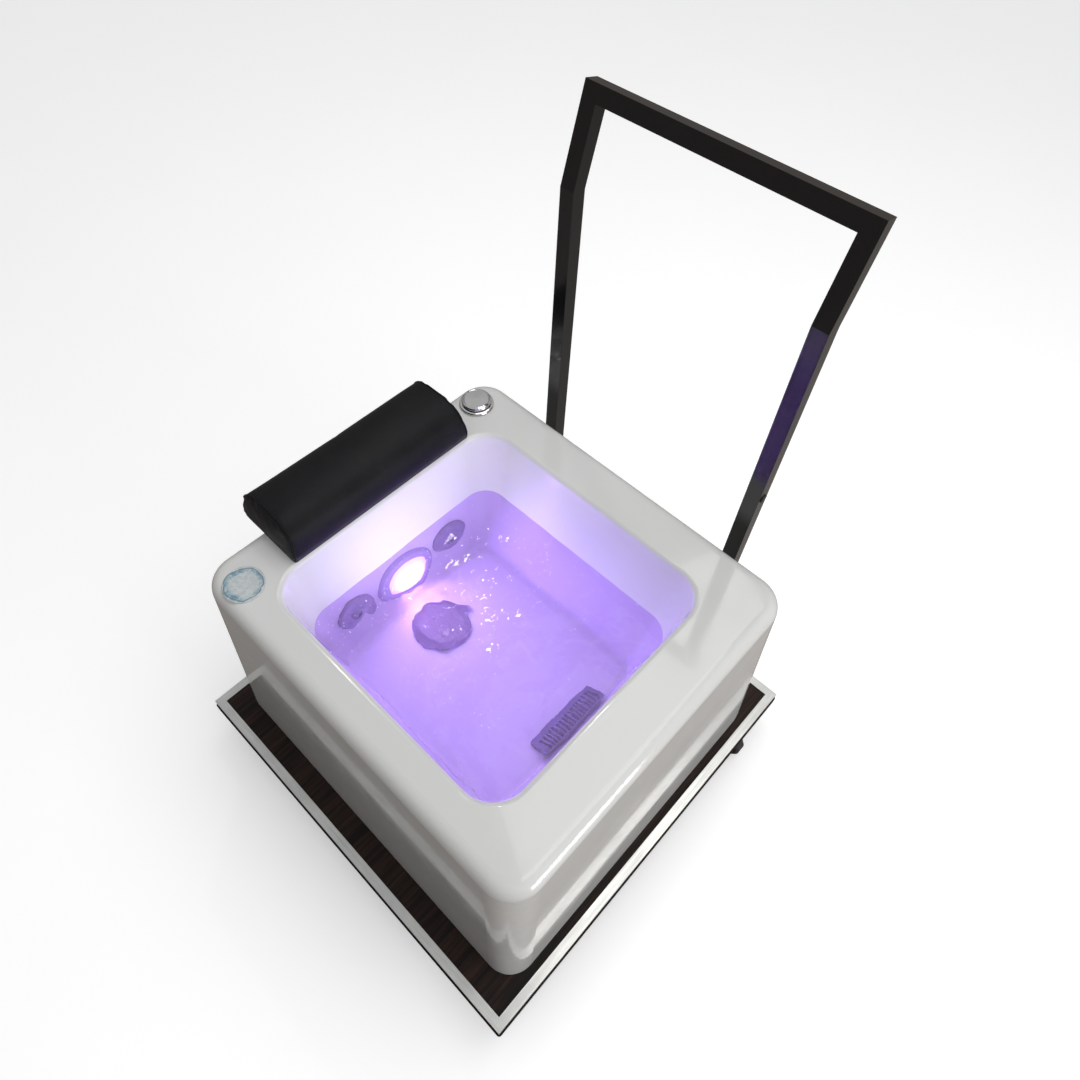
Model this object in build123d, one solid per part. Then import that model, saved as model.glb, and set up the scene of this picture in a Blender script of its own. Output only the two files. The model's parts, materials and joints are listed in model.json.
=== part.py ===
"""Portable pedicure foot spa: acrylic tub on a wheeled board, with a push handle.

Millimetres, +Z up.  Shapes are made about the middle of the board and moved at the end,
so that the origin is on the floor, under the middle of the whole object's box.
-X is the side with the leg cushion, the lamp and the jets.  +Y is the handle side.
"""
import math
import os

from build123d import *

# ---- driving dimensions -------------------------------------------------------
BOARD_HALF = 311.0          # half of the square board, over its black edge band
BOARD_T = 25.0
BOARD_BOTTOM = 62.0         # height of the casters
BOARD_TOP = BOARD_BOTTOM + BOARD_T
TRIM_HALF = 309.0           # outer face of the aluminium edging
TRIM_FLANGE = 12.5
TRIM_LEG = 12.0
TRIM_T = 1.5

TUB_X = -4.5                # middle of the tub
TUB_BASE = (580.0, 530.0)   # skirt at the board
TUB_TOP = (544.0, 494.0)    # skirt at the rim
TUB_H = 337.0
TUB_R = (38.0, 42.0)        # vertical corner radius, at the board and at the rim
RIM_ROUND = 18.0            # round between the skirt and the deck
LIP_ROUND = 7.0             # round between the deck and the basin
WALL = 5.0                  # acrylic and glass-fibre laminate
RIM_Z = BOARD_TOP + TUB_H

BASIN_MOUTH = (390.8, 374.6)
BASIN_MOUTH_Y = -9.7
BASIN_FLOOR = (303.0, 275.0)
BASIN_FLOOR_Y = -15.5
BASIN_R = (22.0, 45.0)      # vertical corner radius, at the floor and at the mouth
BASIN_DEPTH = 240.0
FLOOR_Z = RIM_Z - BASIN_DEPTH
FLOOR_ROUND = 14.0
JET_HOLE_R = 18.5
LAMP_HOLE_R = 30.0
BUTTON_HOLE_R = 16.0
SUCTION_HOLE_R = 22.0
OUTLET_AT = (127.0, 0.0)    # drain outlet, under the grille
OUTLET_HOLE_R = 12.5

TUBE = 20.0                 # square handle tube
TUBE_WALL = 1.5
HANDLE_X = 164.0            # middle of each upright
HANDLE_Y = 286.0
BEND_Z = BOARD_TOP + 680.0
LEAN_LENGTH = 114.0         # from the bend to the outer edge of the top bar
LEAN = 15.0                 # degrees, away from the tub
FOOT_T = 4.0
PLUG_Z = BOARD_TOP + 412.0
PLUG_R = 4.5
BOLT_R = 2.5

CASTER_X = 270.0
CASTER_Y = 225.0
WHEEL_R = 25.0
WHEEL_W = 20.0
TRAIL = 22.0                # wheel axle behind the swivel axis
CASTER_TURNS = (0, 0, 180, 0)  # degrees each fork has swivelled from trailing toward +X
AXLE_R = 3.0
RUN_GAP = 0.08              # running clearance of pins

BUTTON_AT = (-240.0, 196.0)
BUTTON_TRAVEL = 4.0
BADGE_AT = (-223.0, -214.0)
BADGE_R = 26.0

LAMP_Y = -18.5
LAMP_Z = BOARD_TOP + 178.0
JET_YS = (-107.0, 67.0)
JET_Z = BOARD_TOP + 184.0
BALL_R = 14.0
BALL_SINK = 4.0             # ball centre behind the wall face
JET_TAIL = 46.0

SUCTION_AT = (-97.0, -20.0)
SUCTION_R = 42.0
GRILLE_X = (117.0, 140.0)
GRILLE_LEAN = 8.0           # how far its back leans out with the wall
GRILLE_Y = (-56.0, 56.0)
GRILLE_H = 30.0
GRILLE_SLOTS = 17

PUMP_Y = 195.0
PUMP_Z = BOARD_TOP + 58.0
VOLUTE_X = (-150.0, -110.0)
VOLUTE_R = 46.0
MOTOR_R = 41.0
SHAFT_R = 4.0
PIPE_R = 12.0
PIPE_BORE = 9.5
PORT_R = 10.5               # bore of the pump's two ports
MANIFOLD_X = -242.0
VALVE_X = 112.0
VALVE_Y = 264.0             # where the outlet leaves the skirt
DRAIN_Z = BOARD_TOP + 50.0
SPIGOT_R = 12.0             # hose end of the outlet valve
GLAND_X = -120.0
GLAND_Z = BOARD_TOP + 40.0

CUSHION = (114.0, 304.0, 62.0)
CUSHION_AT = (-256.0, -4.0)
CUSHION_BASE_T = 8.0

TO_ORIGIN = (-2.0, -7.1, 0.0)   # from under the middle of the board to under the middle of the box

parts = {}


# ---- helpers ------------------------------------------------------------------
def block(x, y, z):
    """Box from three (low, high) pairs."""
    size = [b - a for a, b in (x, y, z)]
    mid = [(a + b) / 2 for a, b in (x, y, z)]
    return Pos(*mid) * Box(*size)


def disc(at, z, radius):
    """Upright cylinder at (x, y) between two heights."""
    low, high = z
    return Pos(at[0], at[1], (low + high) / 2) * Cylinder(radius, high - low)


def slab(size, centre, z, radius):
    """Rounded rectangle sketch at a height."""
    return Pos(centre[0], centre[1], z) * RectangleRounded(size[0], size[1], radius)


def rod(start, end, radius):
    """Cylinder between two points."""
    a = Vector(*start)
    b = Vector(*end)
    plane = Plane(origin=a, z_dir=b - a)
    return plane * Pos(0, 0, (b - a).length / 2) * Cylinder(radius, (b - a).length)


def prism_y(outline, span):
    """Solid between two y values from an (x, z) outline."""
    face = make_face(Polyline(*[(x, span[0], z) for x, z in outline], close=True))
    return extrude(face, span[1] - span[0], dir=(0, 1, 0))


def along_y(x, z, span, radius):
    """Cylinder along Y between two y values."""
    return rod((x, span[0], z), (x, span[1], z), radius)


def pipe_run(points, radius):
    """Rods along a route with ball elbows."""
    run = rod(points[0], points[1], radius)
    for a, b in zip(points[1:-1], points[2:]):
        run += Pos(*a) * Sphere(radius)
        run += rod(a, b, radius)
    return run


def turned(profile):
    """Solid turned about Z from (radius, height) points."""
    face = make_face(Polyline(*[(r, 0, z) for r, z in profile], close=True))
    return revolve(face, Axis.Z)


def grow(size, by):
    """Both sides of a rectangle made longer."""
    return (size[0] + by, size[1] + by)


def wall_plane(y, z):
    """Plane on the -X basin wall, its Z pointing into the basin, its X along +Y."""
    slope = (BASIN_MOUTH[0] - BASIN_FLOOR[0]) / 2 / BASIN_DEPTH
    x = TUB_X - BASIN_MOUTH[0] / 2 + (RIM_Z - z) * slope
    angle = math.atan(slope)
    normal = (math.cos(angle), 0, math.sin(angle))
    return Plane(origin=(x, y, z), x_dir=(0, 1, 0), z_dir=normal)


# ---- platform -----------------------------------------------------------------
def caster_places():
    """Number and place of each swivel caster."""
    corners = [(x, y) for x in (-CASTER_X, CASTER_X) for y in (-CASTER_Y, CASTER_Y)]
    return list(enumerate(corners, start=1))


def screw_offsets(dx, dy):
    return [(sx * dx, sy * dy) for sx in (-1, 1) for sy in (-1, 1)]


def base_board():
    """Laminated board with a rebate for the edging and holes for every screw."""
    band = block((-BOARD_HALF, BOARD_HALF), (-BOARD_HALF, BOARD_HALF), (BOARD_BOTTOM, BOARD_TOP))
    band = fillet(band.edges().filter_by(Axis.Z), 4)
    core = TRIM_HALF - TRIM_T
    rebate_z = (BOARD_TOP - TRIM_LEG, BOARD_TOP + 1)
    rebate = block((-BOARD_HALF - 1, BOARD_HALF + 1), (-BOARD_HALF - 1, BOARD_HALF + 1), rebate_z)
    rebate -= block((-core, core), (-core, core), rebate_z)
    board = band - rebate
    for _, (x, y) in caster_places():
        for dx, dy in screw_offsets(23, 18):
            board -= disc((x + dx, y + dy), (BOARD_BOTTOM, BOARD_BOTTOM + 18.5), 2.1)
    for at in foot_holes(-1) + foot_holes(1):
        board -= disc(at, (BOARD_TOP - 20, BOARD_TOP), BOLT_R + 0.1)
    return board


def trim_piece(side):
    """One mitred angle: flange on the board, leg down in the rebate."""
    half = TRIM_HALF
    flange = block((-half, half), (-half, TRIM_FLANGE - half), (BOARD_TOP, BOARD_TOP + TRIM_T))
    leg = block((-half, half), (-half, TRIM_T - half), (BOARD_TOP - TRIM_LEG, BOARD_TOP))
    angle = fillet((flange + leg).edges().filter_by(Axis.X).sort_by(Axis.Y)[1:2], 0.8)
    mitre = make_face(Polyline((-half, -half), (half, -half), (0, 0), close=True))
    wedge = extrude(Pos(0, 0, BOARD_TOP - 30) * mitre, 60)
    return Rot(0, 0, side * 90) * (angle & wedge)


def platform():
    parts["base_board"] = base_board()
    for side, name in enumerate(("front", "right", "rear", "left")):
        parts["trim_" + name] = trim_piece(side)


# ---- casters ------------------------------------------------------------------
FORK_TOP = 54.5
FORK_BRIDGE = 51.0


def caster_plate():
    """Fixed plate with its bearing race and king pin."""
    plate = block((-30, 30), (-25, 25), (59.5, BOARD_BOTTOM))
    plate = fillet(plate.edges().filter_by(Axis.Z), 5)
    plate += disc((0, 0), (FORK_TOP + 0.3, 59.5), 17)
    plate += disc((0, 0), (47.9, 60), 4)
    plate += disc((0, 0), (47.9, FORK_BRIDGE - 0.2), 6)
    for dx, dy in screw_offsets(23, 18):
        plate -= disc((dx, dy), (59, 63), 2.6)
    return plate


def caster_fork():
    """Swivel yoke: bridge, two cheeks and the axle bosses, trailing toward +X."""
    inner = WHEEL_W / 2 + 2
    outer = inner + 2.5
    fork = disc((0, 0), (FORK_BRIDGE, FORK_TOP), 17)
    fork += block((0, TRAIL + 12), (-outer, outer), (FORK_BRIDGE, FORK_TOP))
    cheek = [(-9, FORK_TOP), (TRAIL + 12, FORK_TOP), (TRAIL + 8, WHEEL_R), (TRAIL - 8, WHEEL_R)]
    for side in (-1, 1):
        span = sorted((side * inner, side * outer))
        fork += prism_y(cheek, span)
        fork += along_y(TRAIL, WHEEL_R, span, 8)
    fork -= disc((0, 0), (FORK_BRIDGE - 1, FORK_TOP + 1), 4 + RUN_GAP)
    fork -= along_y(TRAIL, WHEEL_R, (-outer - 1, outer + 1), AXLE_R)
    return fork


def caster_wheel():
    """Black tyred wheel with a raised hub and a running bore."""
    half = WHEEL_W / 2
    tread = [(9, -half + 3), (WHEEL_R - 7, -half + 3), (WHEEL_R - 6, -half), (WHEEL_R - 3, -half),
             (WHEEL_R, -half + 3), (WHEEL_R, half - 3), (WHEEL_R - 3, half), (WHEEL_R - 6, half),
             (WHEEL_R - 7, half - 3), (9, half - 3), (8, half + 1), (AXLE_R + RUN_GAP, half + 1),
             (AXLE_R + RUN_GAP, -half - 1), (8, -half - 1)]
    return Pos(TRAIL, 0, WHEEL_R) * Rot(90, 0, 0) * turned(tread)


def caster_axle():
    """Rivet through the fork with a head at each end."""
    outer = WHEEL_W / 2 + 4.5
    axle = along_y(TRAIL, WHEEL_R, (-outer, outer), AXLE_R)
    for side in (-1, 1):
        axle += along_y(TRAIL, WHEEL_R, (side * outer, side * (outer + 2)), 5)
    return axle


def casters():
    screws = []
    for number, (x, y) in caster_places():
        mount = Pos(x, y, 0)
        parts[f"caster_plate_{number}"] = mount * caster_plate()
        place = mount * Rot(0, 0, CASTER_TURNS[number - 1])
        parts[f"caster_fork_{number}"] = place * caster_fork()
        parts[f"caster_wheel_{number}"] = place * caster_wheel()
        parts[f"caster_axle_{number}"] = place * caster_axle()
        for dx, dy in screw_offsets(23, 18):
            at = (x + dx, y + dy)
            screws.append(disc(at, (57.5, 59.5), 4.2) + disc(at, (59.5, BOARD_BOTTOM + 18), 2))
    parts["caster_screws"] = Compound(children=screws)


# ---- handle -------------------------------------------------------------------
def lean_point(along, across, x=0.0):
    """Point on the leaning stretch: distance past the bend, and offset from its middle."""
    a = math.radians(LEAN)
    y = HANDLE_Y + along * math.sin(a) + across * math.cos(a)
    z = BEND_Z + along * math.cos(a) - across * math.sin(a)
    return (x, y, z)


def handle_side(half, sign, grow_end=0.0):
    """Solid bar along an upright's two stretches, up to its mitre with the top bar."""
    kick = half * math.tan(math.radians(LEAN / 2))
    end = LEAN_LENGTH + grow_end
    side = [(0, HANDLE_Y - half, BOARD_TOP + TRIM_T - grow_end), (0, HANDLE_Y - half, BEND_Z + kick),
            lean_point(end, -half), lean_point(end, half),
            (0, HANDLE_Y + half, BEND_Z - kick), (0, HANDLE_Y + half, BOARD_TOP + TRIM_T - grow_end)]
    bar = extrude(make_face(Polyline(*side, close=True)), 2 * half, dir=(1, 0, 0))
    return Pos(sign * HANDLE_X - half, 0, 0) * bar


def top_beam(half, reach):
    """Solid bar across the top, in the plane of the leaning stretch."""
    middle = LEAN_LENGTH - TUBE / 2
    signs = ((-1, -1), (1, -1), (1, 1), (-1, 1))
    corners = [lean_point(middle + a * half, c * half) for a, c in signs]
    beam = extrude(make_face(Polyline(*corners, close=True)), 2 * reach, dir=(1, 0, 0))
    return Pos(-reach, 0, 0) * beam


def mitre_wedge():
    """Everything above the two 45 degree mitre planes of the top bar."""
    outer = HANDLE_X + TUBE / 2
    low = LEAN_LENGTH - outer
    front = -50
    points = [lean_point(LEAN_LENGTH, front, -outer), lean_point(LEAN_LENGTH, front, outer)]
    points.append(lean_point(low, front))
    a = math.radians(LEAN)
    return extrude(make_face(Polyline(*points, close=True)), 100, dir=(0, math.cos(a), -math.sin(a)))


def foot_holes(sign):
    """Places of the two bolts through one foot plate."""
    return [(sign * HANDLE_X + dx, HANDLE_Y - 3) for dx in (-20, 20)]


def handle_upright(sign):
    """Bent square tube on a welded foot plate, mitred at the top."""
    half = TUBE / 2
    foot_y = (HANDLE_Y - 18, HANDLE_Y + half)
    x = sign * HANDLE_X
    bore = half - TUBE_WALL
    tube = handle_side(half, sign) - handle_side(bore, sign, 1.0)
    tube -= mitre_wedge()
    foot = block((x - 29, x + 29), foot_y, (BOARD_TOP, BOARD_TOP + FOOT_T))
    foot = fillet(foot.edges().filter_by(Axis.Z), 3)
    upright = tube + foot
    side = sign * half
    upright -= rod((x, HANDLE_Y, PLUG_Z), (x + side * 1.2, HANDLE_Y, PLUG_Z), PLUG_R)
    for at in foot_holes(sign):
        upright -= disc(at, (BOARD_TOP - 1, BOARD_TOP + 9), BOLT_R + 0.1)
    return upright


def handle_bolt(at):
    """Domed bolt through the foot plate into the board."""
    seat = BOARD_TOP + FOOT_T
    head = disc(at, (seat, seat + 3), 5)
    head = chamfer(head.edges().group_by(Axis.Z)[-1], 1)
    return head + disc(at, (BOARD_TOP - 19, seat), BOLT_R)


def hole_plug(sign):
    """Plastic plug in the outer face of an upright."""
    face = sign * (HANDLE_X + TUBE / 2)
    cap = rod((face, HANDLE_Y, PLUG_Z), (face + sign * 1.5, HANDLE_Y, PLUG_Z), 6)
    return cap + rod((face - sign * 5, HANDLE_Y, PLUG_Z), (face, HANDLE_Y, PLUG_Z), PLUG_R)


def handle():
    half = TUBE / 2
    parts["handle_upright_left"] = handle_upright(-1)
    parts["handle_upright_right"] = handle_upright(1)
    beam = top_beam(half, HANDLE_X + half) - top_beam(half - TUBE_WALL, HANDLE_X + half + 1)
    parts["handle_top_bar"] = beam & mitre_wedge()
    bolts = [handle_bolt(at) for sign in (-1, 1) for at in foot_holes(sign)]
    parts["handle_bolts"] = Compound(children=bolts)
    parts["handle_hole_plugs"] = Compound(children=[hole_plug(sign) for sign in (-1, 1)])


# ---- tub ----------------------------------------------------------------------
def tapered(low, high):
    """Loft between two rounded rectangles, each (size, centre, height, radius)."""
    return loft([slab(*low).face(), slab(*high).face()], ruled=True)


def top_edges(solid):
    return solid.faces().sort_by(Axis.Z)[-1].outer_wire().edges()


def tub_outside():
    body = tapered((TUB_BASE, (TUB_X, 0), BOARD_TOP, TUB_R[0]), (TUB_TOP, (TUB_X, 0), RIM_Z, TUB_R[1]))
    return fillet(top_edges(body), RIM_ROUND)


def basin_space(by=0.0):
    """The basin's inside, grown outward by a wall thickness."""
    down = by / BASIN_DEPTH
    size = [f - (m - f) * down + 2 * by for f, m in zip(BASIN_FLOOR, BASIN_MOUTH)]
    middle = BASIN_FLOOR_Y - (BASIN_MOUTH_Y - BASIN_FLOOR_Y) * down
    low = (size, (TUB_X, middle), FLOOR_Z - by, BASIN_R[0] + by)
    high = (grow(BASIN_MOUTH, 2 * by), (TUB_X, BASIN_MOUTH_Y), RIM_Z, BASIN_R[1] + by)
    space = tapered(low, high)
    floor = space.faces().sort_by(Axis.Z)[0].outer_wire().edges()
    return fillet(floor, FLOOR_ROUND + by)


def skirt_space():
    """The hollow between the skirt, the deck and the basin, open at the bottom."""
    low = (grow(TUB_BASE, -2 * WALL), (TUB_X, 0), BOARD_TOP, TUB_R[0] - WALL)
    high = (grow(TUB_TOP, -2 * WALL), (TUB_X, 0), RIM_Z - WALL, TUB_R[1] - WALL)
    inside = tapered(low, high)
    inside = fillet(top_edges(inside), RIM_ROUND - WALL)
    return inside - basin_space(WALL)


def wall_hole(y, z, radius):
    return wall_plane(y, z) * Cylinder(radius, 30)


def tub_shell():
    """One-piece shell: skirt, deck and basin, with a hole for every fitting."""
    shell = tub_outside() - skirt_space() - basin_space()
    lip = shell.faces().sort_by(Axis.Z)[-1].inner_wires()[0].edges()
    shell = fillet(lip, LIP_ROUND)
    for y in JET_YS:
        shell -= wall_hole(y, JET_Z, JET_HOLE_R)
    shell -= wall_hole(LAMP_Y, LAMP_Z, LAMP_HOLE_R)
    shell -= disc(BUTTON_AT, (RIM_Z - 10, RIM_Z + 1), BUTTON_HOLE_R)
    floor = (FLOOR_Z - 10, FLOOR_Z + 1)
    shell -= disc(SUCTION_AT, floor, SUCTION_HOLE_R)
    shell -= disc(OUTLET_AT, floor, OUTLET_HOLE_R)
    rear = (245, 275)
    shell -= along_y(VALVE_X, DRAIN_Z, rear, PIPE_R + 1.5)
    shell -= along_y(GLAND_X, GLAND_Z, rear, 9)
    return shell


def deck_medallion():
    """Thin domed disc with a raised ripple ring."""
    ring = [(0, 0), (BADGE_R, 0), (BADGE_R, 1.2), (BADGE_R - 1, 2), (BADGE_R - 3, 1.6), (0, 2.2)]
    return Pos(BADGE_AT[0], BADGE_AT[1], RIM_Z) * turned(ring)


def tub_bracket():
    """Angle with its upright leg at y 0 and its foot toward +Y, with one screw hole."""
    angle = block((-20, 20), (0, 22), (0, 2)) + block((-20, 20), (0, 2), (0, 25))
    return angle - disc((0, 12), (-1, 3), 2.5)


def tub_brackets():
    """Four angles that hold the skirt to the board from inside."""
    front = -TUB_BASE[1] / 2 + WALL + 4
    right = TUB_X + TUB_BASE[0] / 2 - WALL - 4
    brackets = [Pos(x, front, BOARD_TOP) * tub_bracket() for x in (-150, 150)]
    brackets += [Pos(right, y, BOARD_TOP) * Rot(0, 0, 90) * tub_bracket() for y in (-100, 100)]
    return Compound(children=brackets)


def tub():
    parts["tub_shell"] = tub_shell()
    parts["deck_medallion"] = deck_medallion()
    parts["tub_brackets"] = tub_brackets()


# ---- air button ---------------------------------------------------------------
def air_button():
    """Chrome bezel and bellows body below the deck, with a cap that travels down."""
    place = Pos(BUTTON_AT[0], BUTTON_AT[1], RIM_Z)
    bezel = [(22, 0), (25, 0), (25, 2.6), (24.2, 4), (22, 4.6)]
    cup = [(0, -50), (12, -50), (12, -44), (15.5, -44), (15.5, 0), (22, 0), (22, 1), (14, 1),
           (14, -40), (0, -40)]
    parts["air_button_housing"] = place * (turned(bezel) + turned(cup))
    rest = BUTTON_TRAVEL + 1.6
    cap = [(0, rest), (21.4, rest), (21.4, rest + 2.6), (20.6, rest + 4.6), (19, rest + 5.6), (18, rest + 5),
           (17, rest + 5.6), (0, rest + 6.4)]
    stem = [(0, rest - 22), (12, rest - 22), (12, rest), (0, rest)]
    parts["air_button_cap"] = place * (turned(cap) + turned(stem))
    nut = [(15.6, -WALL - 7), (18.3, -WALL - 7), (18.3, -WALL), (15.6, -WALL)]
    parts["air_button_nut"] = place * turned(nut)


# ---- jets and lamp ------------------------------------------------------------
def jet_body():
    """Wall fitting: flange in the basin, threaded barrel and tail behind the wall."""
    flange = [(14.5, 0), (27, 0), (27, 2), (14.5, 2)]
    barrel = [(14.5, 0), (18, 0), (18, -26), (12, -32), (12, -JET_TAIL), (8.5, -JET_TAIL), (8.5, -22),
              (14.5, -22)]
    return turned(flange) + turned(barrel)


def jet_escutcheon():
    """Round face ring over the flange; its cone holds the ball back."""
    profile = [(13.5, 2), (27.1, 2), (27.1, 0), (31, 0), (31, 2.2), (28, 4.6), (15, 6.2), (10.8, 6.2)]
    return turned(profile)


def jet_ball():
    """Eyeball nozzle with an off-centre bore."""
    ball = Pos(0, 0, -BALL_SINK) * Sphere(BALL_R)
    ball -= Pos(0, 0, -BALL_SINK) * Cylinder(4.5, 40)
    return ball


def jets():
    nuts = []
    for number, y in enumerate(JET_YS, start=1):
        at = wall_plane(y, JET_Z)
        parts[f"jet_body_{number}"] = at * jet_body()
        parts[f"jet_face_{number}"] = at * jet_escutcheon()
        parts[f"jet_nozzle_{number}"] = at * jet_ball()
        nuts.append(at * turned([(18.1, -WALL - 7), (26, -WALL - 7), (26, -WALL), (18.1, -WALL)]))
    parts["jet_nuts"] = Compound(children=nuts)


def lamp():
    at = wall_plane(LAMP_Y, LAMP_Z)
    can = [(0, -42), (29.5, -42), (29.5, 0), (43, 0), (43, 2.5), (27, 2.5), (27, -39), (0, -39)]
    parts["lamp_housing"] = at * turned(can)
    parts["lamp_nut"] = at * turned([(29.6, -WALL - 8), (39, -WALL - 8), (39, -WALL), (29.6, -WALL)])
    bezel = [(36.5, 2.5), (43.2, 2.5), (43.2, 0), (49, 0), (49, 1.5), (46, 6), (39, 9), (36.5, 8)]
    parts["lamp_bezel"] = at * turned(bezel)
    dome_r = 60.0
    rise = dome_r - math.sqrt(dome_r ** 2 - 36 ** 2)
    dome = (Pos(0, 0, 5 + rise - dome_r) * Sphere(dome_r)) & (Pos(0, 0, 2.5 + 15) * Cylinder(36, 30))
    parts["lamp_lens"] = at * dome


# ---- floor fittings -----------------------------------------------------------
SUCTION_SCREWS = ((13, -5), (-13, 5))


def suction_cover():
    """Round metal cover with a dished face, two screw holes and slots round its rim."""
    r = SUCTION_R
    cover = turned([(0, 3), (r - 4, 2.5), (r - 4, 0), (r - 1, 0), (r, 2), (r - 3, 6), (r - 12, 7.5),
                    (0, 7.5)])
    for at in SUCTION_SCREWS:
        cover -= disc(at, (0, 10), 2.6)
        cover -= disc(at, (6, 10), 4.6)
    slot = block((r - 6, r + 2), (-4, 4), (0.8, 2.6))
    for step in range(12):
        cover -= Rot(0, 0, 15 + step * 30) * slot
    return cover


def suction_screw(at):
    return disc(at, (6, 8.2), 4.4) + disc(at, (-12, 6), 1.95)


def suction_fitting():
    """Flanged elbow under the basin floor."""
    under = -WALL - 4
    bowl = turned([(10, -WALL), (34, -WALL), (34, under), (24, under), (24, -34), (0, -34), (0, -30),
                   (20, -30), (20, under), (10, under)])
    neck = turned([(10, under), (21.5, under), (21.5, 0), (18, 0), (18, under)])
    fitting = bowl + neck
    fitting -= Pos(0, 0, -12) * Cylinder(18, 26)
    for at in SUCTION_SCREWS:
        fitting += disc(at, (-30, 0), 4) - disc(at, (-16, 1), 2)
    return fitting


def drain_grille():
    """Slotted intake cover against the +X wall: plain nose, slotted back, closed ends."""
    x0, x1 = GRILLE_X
    y0, y1 = GRILLE_Y
    z0, top = FLOOR_Z, FLOOR_Z + GRILLE_H
    back = x1 + GRILLE_LEAN
    side = [(x0, z0), (x1 - 8, z0), (x1, z0 + 5), (back, top), (back - 7, top), (x0, z0 + 12)]
    inside = [(x0 + 2, z0), (x1 - 10, z0), (x1 - 2.5, z0 + 6), (back - 2.8, top - 2), (back - 7, top - 2.5),
              (x0 + 2, z0 + 10.5)]
    cover = prism_y(side, (y0, y1)) - prism_y(inside, (y0 + 2, y1 - 2))
    pitch = (y1 - y0 - 12) / GRILLE_SLOTS
    for step in range(GRILLE_SLOTS):
        y = y0 + 6 + (step + 0.5) * pitch
        cover -= block((x0 + 8, back - 2.5), (y - 1.5, y + 1.5), (z0 + 9, top + 2))
    return cover


def drain_pipe():
    """Flanged drop from the floor outlet, then back to the outlet valve."""
    route = [(*OUTLET_AT, FLOOR_Z), (*OUTLET_AT, DRAIN_Z), (VALVE_X, 40, DRAIN_Z),
             (VALVE_X, VALVE_Y, DRAIN_Z)]
    flange = disc(OUTLET_AT, (FLOOR_Z - WALL - 4, FLOOR_Z - WALL), 20)
    return pipe_run(route, PIPE_R) + flange - pipe_run(route, PIPE_BORE)


def floor_fittings():
    place = Pos(SUCTION_AT[0], SUCTION_AT[1], FLOOR_Z)
    parts["suction_cover"] = place * suction_cover()
    parts["suction_screws"] = Compound(children=[place * suction_screw(at) for at in SUCTION_SCREWS])
    parts["suction_fitting"] = place * suction_fitting()
    parts["drain_grille"] = drain_grille()


# ---- plumbing and power -------------------------------------------------------
def along_pump(span, radius):
    """Cylinder on the pump's axis, between two distances from the volute's motor side."""
    x = VOLUTE_X[1]
    return rod((x + span[0], PUMP_Y, PUMP_Z), (x + span[1], PUMP_Y, PUMP_Z), radius)


def pump_wet_end():
    """Volute with an inlet on its axis and an outlet on top."""
    deep = VOLUTE_X[0] - VOLUTE_X[1]
    outlet_x = VOLUTE_X[0] + 20
    outlet_top = PUMP_Z + VOLUTE_R + 10
    bulk = along_pump((deep, 0), VOLUTE_R) + along_pump((deep - 16, deep), 16)
    bulk += disc((outlet_x, PUMP_Y), (PUMP_Z, outlet_top), 16)
    bulk -= along_pump((deep + 4, -4), VOLUTE_R - 4)
    bulk -= along_pump((deep - 17, deep + 5), PORT_R)
    bulk -= disc((outlet_x, PUMP_Y), (PUMP_Z, outlet_top + 1), PORT_R)
    return bulk - along_pump((-5, 1), SHAFT_R + 0.2)


def pump_impeller():
    """Six blades on a disc, hub and shaft."""
    wheel = along_pump((-12, -9), 36)
    for step in range(6):
        blade = Rot(step * 60, 0, 0) * block((-24, -12), (8, 34), (-1.2, 1.2))
        wheel += Pos(VOLUTE_X[1], PUMP_Y, PUMP_Z) * blade
    return wheel + along_pump((-24, -9), 9) + along_pump((-10, 3), SHAFT_R)


def pump_motor():
    """Finned motor on a two-legged foot."""
    motor = along_pump((0, 14), VOLUTE_R - 2) + along_pump((14, 160), MOTOR_R)
    for step in range(10):
        groove = (32 + step * 11, 37 + step * 11)
        motor -= along_pump(groove, MOTOR_R + 1) - along_pump(groove, MOTOR_R - 3)
    motor -= along_pump((-1, 8), SHAFT_R + 0.2)
    x = VOLUTE_X[1]
    wide = (PUMP_Y - 34, PUMP_Y + 34)
    for leg in (20, 146):
        motor += block((x + leg, x + leg + 6), wide, (BOARD_TOP, PUMP_Z - 20))
    return motor + block((x + 20, x + 152), wide, (BOARD_TOP, BOARD_TOP + 4))


def pump():
    """Circulation pump lying along X behind the basin."""
    parts["pump_wet_end"] = pump_wet_end()
    parts["pump_impeller"] = pump_impeller()
    parts["pump_motor"] = pump_motor()


def suction_pipe():
    sx, sy = SUCTION_AT
    low = FLOOR_Z - 22
    route = [(sx, sy + 24, low), (sx, 112, low), (-205, 112, low), (-205, PUMP_Y, PUMP_Z),
             (VOLUTE_X[0] - 16, PUMP_Y, PUMP_Z)]
    return pipe_run(route, PIPE_R) - pipe_run(route, PIPE_BORE)


def pressure_manifold():
    """Riser from the pump, then a capped header along the wall with a stub to each jet."""
    tails = [wall_plane(y, JET_Z).from_local_coords(Vector(0, 0, -JET_TAIL)) for y in JET_YS]
    back = wall_plane(0, JET_Z).z_dir * -1
    reach = (MANIFOLD_X - tails[0].X) / back.X
    ends = [tail + back * reach for tail in tails]
    level = ends[0].Z
    end_y = JET_YS[0] - 20
    x = VOLUTE_X[0] + 20
    riser = [(x, PUMP_Y, PUMP_Z + VOLUTE_R + 10), (x, PUMP_Y, level), (MANIFOLD_X, PUMP_Y, level)]
    header = pipe_run(riser + [(MANIFOLD_X, end_y, level)], PIPE_R)
    bore = pipe_run(riser + [(MANIFOLD_X, end_y + 3, level)], PIPE_BORE)
    for tail, end in zip(tails, ends):
        header += rod(tail, end, PIPE_R - 1)
    header -= bore
    for tail, end in zip(tails, ends):
        header -= rod(tail - back, end, PIPE_BORE - 1)
    return header


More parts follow.
